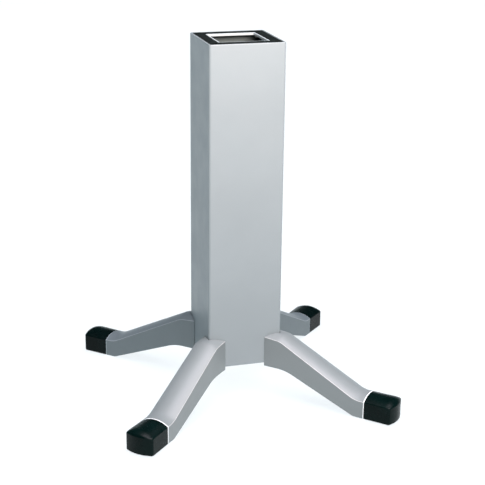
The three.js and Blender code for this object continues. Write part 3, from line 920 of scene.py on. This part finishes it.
def build_top():
    """The black frame in the column's mouth, the plate with its raised collar, and the weld nuts."""
    top_frame = square_solid("frame", [
        (INSERT_HALF, FRAME_BOTTOM, 0.3), (INSERT_HALF, COLUMN_TOP, 0.5),
        (FRAME_OPENING_HALF, COLUMN_TOP, 0.5), (FRAME_OPENING_HALF, FRAME_BOTTOM, 0.3),
    ], insert_corner)
    cut(top_frame, *top_bolt_holes())
    finish_piece(top_frame, "top_frame_ring", "root", "frame_plastic", FRAME_PLASTIC, "top_frame")
    plate = square_solid("plate", [
        (INSERT_HALF, PLATE_BOTTOM, 0.3), (INSERT_HALF, PLATE_TOP, 0.3),
        (COLLAR_HALF, PLATE_TOP, 0), (COLLAR_HALF, COLLAR_TOP, 0.4),
        (COLLAR_INNER, COLLAR_TOP, 0.6), (COLLAR_INNER, PLATE_BOTTOM, 0.4),
    ], insert_corner)
    cut(plate, *top_bolt_holes())
    # The plate shows the lighter copy of the column's paint: painted light.
    finish_piece(plate, "top_plate_collared", "root", "column_paint", PLATE_LIT_PAINT, "top_plate")
    nut_top = PLATE_BOTTOM - GAP
    master = nut(across_flats=13, low=nut_top - 6.5, high=nut_top, hole_r=3.4)
    corners = [(-1, -1), (1, -1), (1, 1), (-1, 1)]
    for number, (sx, sy) in enumerate(corners, 1):
        shift = Matrix.Translation(Vector((sx * TOP_BOLT_XY, sy * TOP_BOLT_XY, 0)) * MM)
        name = f"weld_nut_{number}"
        finish_piece(copy_of(master, shift), f"{name}_fine", "root", "steel", STEEL, name)
    bpy.data.objects.remove(master)


def build_bottom():
    """The bottom plate with its cable hole and bolt holes, and the grommet in the cable hole."""
    low, high = COLUMN_BOTTOM, COLUMN_BOTTOM + 8
    edge = 0.5
    steps = 8
    outline = rounded_square(INSERT_HALF, 1.5, steps)
    inner = rounded_square(INSERT_HALF - edge, 1.0, steps)
    directions = [p.normalized() for p in rounded_square(GROMMET_HOLE_R, GROMMET_HOLE_R - 0.1, steps)]
    hole = [direction * GROMMET_HOLE_R for direction in directions]
    hole_edge = [direction * (GROMMET_HOLE_R + edge) for direction in directions]
    plan = [(inner, low), (outline, low + edge), (outline, high - edge), (inner, high),
            (hole_edge, high), (hole, high - edge), (hole, low + edge), (hole_edge, low)]
    plate = loft("plate", [[(p.x, p.y, z) for p in ring] for ring, z in plan], closed=True)
    for angle in LEG_ANGLES.values():
        for x in LEG_BOLTS_AT.values():
            hole_cutter = rod(LEG_BOLT_HOLE_R, low - CUT_PAST, high + CUT_PAST, x)
            cut(plate, place(hole_cutter, Matrix.Rotation(math.radians(angle), 4, "Z")))
    finish_piece(plate, "bottom_plate_fine", "root", "steel", STEEL, "bottom_plate")
    lip, neck, clear = 36.0, 31.4, 28.0        # the grommet's radii, the last that of its hole
    thick = 2.7                        # thickness of each lip
    below, above = low - GAP, high + GAP
    grommet = turned("grommet", [
        (clear, below - thick, 1.2), (lip, below - thick, 1.2), (lip, below, 0.4), (neck, below, 0),
        (neck, above, 0), (lip, above, 0.4), (lip, above + thick, 1.2), (clear, above + thick, 1.2),
    ], steps=64)
    finish_piece(grommet, "cable_grommet_fine", "root", "rubber", RUBBER, "cable_grommet")


def build_legs():
    """The four legs with everything that is bolted to them and stands under them."""
    leg_bolt = countersunk_screw(shank_r=4.0, length=12.5, socket=5)
    leg_bolt_a = moved(copy_of(leg_bolt, Matrix()), LEG_BOLTS_AT["leg_bolt_a"], 0, HEEL_BOTTOM)
    leg_bolt_b = moved(leg_bolt, LEG_BOLTS_AT["leg_bolt_b"], 0, HEEL_BOTTOM)
    corner_bolt = cap_screw(head_r=8, head_height=10, shank_r=4.9, length=37, socket=8)
    place(corner_bolt, Matrix.Rotation(math.pi / 2, 4, "Y"))
    small_screw = cap_screw(head_r=4.5, head_height=3, shank_r=2.4, length=18, socket=3)
    nut_low = TONGUE["high"] + GAP
    lock_nut = nut(across_flats=16, low=nut_low, high=nut_low + 6, hole_r=STUD_HOLE_R)
    masters = {
        "leg": (leg_mesh(), "leg_paint", LEG_PAINT),
        "leg_bolt_a": (leg_bolt_a, "steel", STEEL),
        "leg_bolt_b": (leg_bolt_b, "steel", STEEL),
        "corner_bolt": (moved(corner_bolt, CORNER_BOLT_AT, 0, CORNER_BOLT_Z), "steel", STEEL),
        "corner_washer": (soften(washer_mesh(), 0.5), "steel", STEEL),
        "end_cap": (cap_mesh(), "cap_plastic", CAP_PLASTIC),
        "cap_screw": (moved(small_screw, CAP_SCREW_AT, 0, LEG_UNDERSIDE + GAP), "steel", STEEL),
        "lock_nut": (moved(lock_nut, FOOT_AT), "steel", STEEL),
        "foot_pad": (moved(pad_mesh(), FOOT_AT), "rubber", RUBBER),
        "foot_stud": (moved(stud_mesh(), FOOT_AT), "steel", STEEL),
    }
    bodies = {"foot_pad": "pad", "foot_stud": "stud"}
    for corner, angle in LEG_ANGLES.items():
        turn = Matrix.Rotation(math.radians(angle), 4, "Z")
        for kind, (master, slot, material) in masters.items():
            name = f"{kind}_{corner}"
            body = f"{bodies[kind]}_{corner}" if kind in bodies else "root"
            finish_piece(copy_of(master, turn), f"{name}_fine", body, slot, material, name)
    for master, _, _ in masters.values():
        bpy.data.objects.remove(master)


build_column()
build_top()
build_bottom()
build_legs()


# ---- Floor, light and camera ----

FLOOR_WHITE = (0.93, 0.93, 0.93)
COOL_LIGHT = (0.93, 1.0, 1.05)
FLOOR_LIGHT = (0.96, 1.0, 1.03)
LILAC_LIGHT = (1.04, 0.97, 1.07)
WARM_LIGHT = (1.0, 0.79, 0.71)


def build_floor():
    """A plain pale floor, large enough for its edge to stay out of sight."""
    bpy.ops.mesh.primitive_plane_add(size=60)
    floor = bpy.context.object
    floor.name = "floor"
    material, tree, shader, where = new_material("floor", FLOOR_WHITE, 0.7, specular=0.2)
    tone = ramp(tree, noise(tree, where, 1.5, 3.0), 0.3, 0.7)
    base = blend(tree, tone, shade(FLOOR_WHITE, 0.995), shade(FLOOR_WHITE, 1.0))
    tree.links.new(base, shader.inputs["Base Color"])
    floor.data.materials.append(material)


def new_light(name, kind, energy, colour):
    light = bpy.data.lights.new(name, kind)
    light.energy = energy
    light.color = colour
    obj = bpy.data.objects.new(name, light)
    bpy.context.scene.collection.objects.link(obj)
    return obj


def area_light(name, place_at, aim, size, power, colour):
    """A square soft box of the given size, which the camera does not see."""
    obj = new_light(name, "AREA", power, colour)
    obj.data.shape = "SQUARE"
    obj.data.size = size
    obj.location = place_at
    obj.rotation_euler = (Vector(aim) - Vector(place_at)).to_track_quat("-Z", "Y").to_euler()
    obj.visible_camera = False
    return obj


def sun(name, towards, energy, softness, colour):
    """Parallel light from the direction towards, spread over softness in degrees."""
    obj = new_light(name, "SUN", energy, colour)
    obj.data.angle = math.radians(softness)
    obj.rotation_euler = Vector(towards).to_track_quat("Z", "Y").to_euler()
    return obj


def collection_of(name, objects):
    made = bpy.data.collections.new(name)
    for obj in objects:
        made.objects.link(obj)
    return made


def build_world():
    """Dim sky with a bright band at the horizon, so that the pale floor runs on into it."""
    world = bpy.data.worlds.new("studio")
    world.use_nodes = True
    tree = world.node_tree
    background = tree.nodes["Background"]
    background.inputs["Color"].default_value = (0.80, 0.95, 1.0, 1.0)
    direction = node(tree, "ShaderNodeTexCoord").outputs["Generated"]
    height = node(tree, "ShaderNodeSeparateXYZ", {"Vector": direction}).outputs["Z"]
    band, sky = 1.25, 0.07
    tree.links.new(ramp(tree, height, 0.07, 0.16, band, sky), background.inputs["Strength"])
    bpy.context.scene.world = world


def build_light():
    """Soft light from above: a little for everything, the floor's own, which casts no shadow of the
    object, and the object's own. A frontal key lights the column's upper half and the front legs."""
    meshes = [obj for obj in bpy.context.scene.objects if obj.type == "MESH"]
    floor = collection_of("floor_only", [obj for obj in meshes if obj.name == "floor"])
    thing = collection_of("object_only", [obj for obj in meshes if obj.name != "floor"])
    front = collection_of("key_only", [obj for obj in thing.objects if "_back_" not in obj.name])
    sun("overhead", (0.05, -0.15, 0.98), energy=0.7, softness=70, colour=COOL_LIGHT)
    on_floor = sun("floor_fill", (0, 0, 1), energy=2.85, softness=20, colour=FLOOR_LIGHT)
    on_floor.light_linking.receiver_collection = floor
    on_floor.light_linking.blocker_collection = floor
    on_thing = sun("object_top", (0.05, -0.22, 0.97), energy=3.5, softness=44, colour=LILAC_LIGHT)
    on_thing.light_linking.receiver_collection = thing
    key = area_light(
        "key", (0.1, -1.3, 1.45), aim=(0.05, 0, 1.4), size=0.8, power=80, colour=WARM_LIGHT)
    key.light_linking.receiver_collection = front
    bpy.context.scene.view_settings.view_transform = "Standard"


def build_camera():
    """The camera looks a little down at the column's front face from the left."""
    yaw, pitch, roll = -0.28671, 0.33082, 0.01096
    level = math.cos(pitch)
    right = Vector((math.cos(yaw), math.sin(yaw), 0))
    ahead = Vector((-math.sin(yaw) * level, math.cos(yaw) * level, -math.sin(pitch)))
    up = right.cross(ahead)
    side = right * math.cos(roll) + up * math.sin(roll)
    over = up * math.cos(roll) - right * math.sin(roll)
    data = bpy.data.cameras.new("camera")
    data.sensor_width = 36
    data.lens = 89.8
    camera = bpy.data.objects.new("camera", data)
    bpy.context.scene.collection.objects.link(camera)
    turn = Matrix((side, over, -ahead)).transposed().to_4x4()
    stands_at = (-0.63956, -2.21975, 1.10125)
    camera.matrix_world = Matrix.Translation(stands_at) @ turn
    bpy.context.scene.camera = camera


build_floor()
build_world()
build_light()
build_camera()
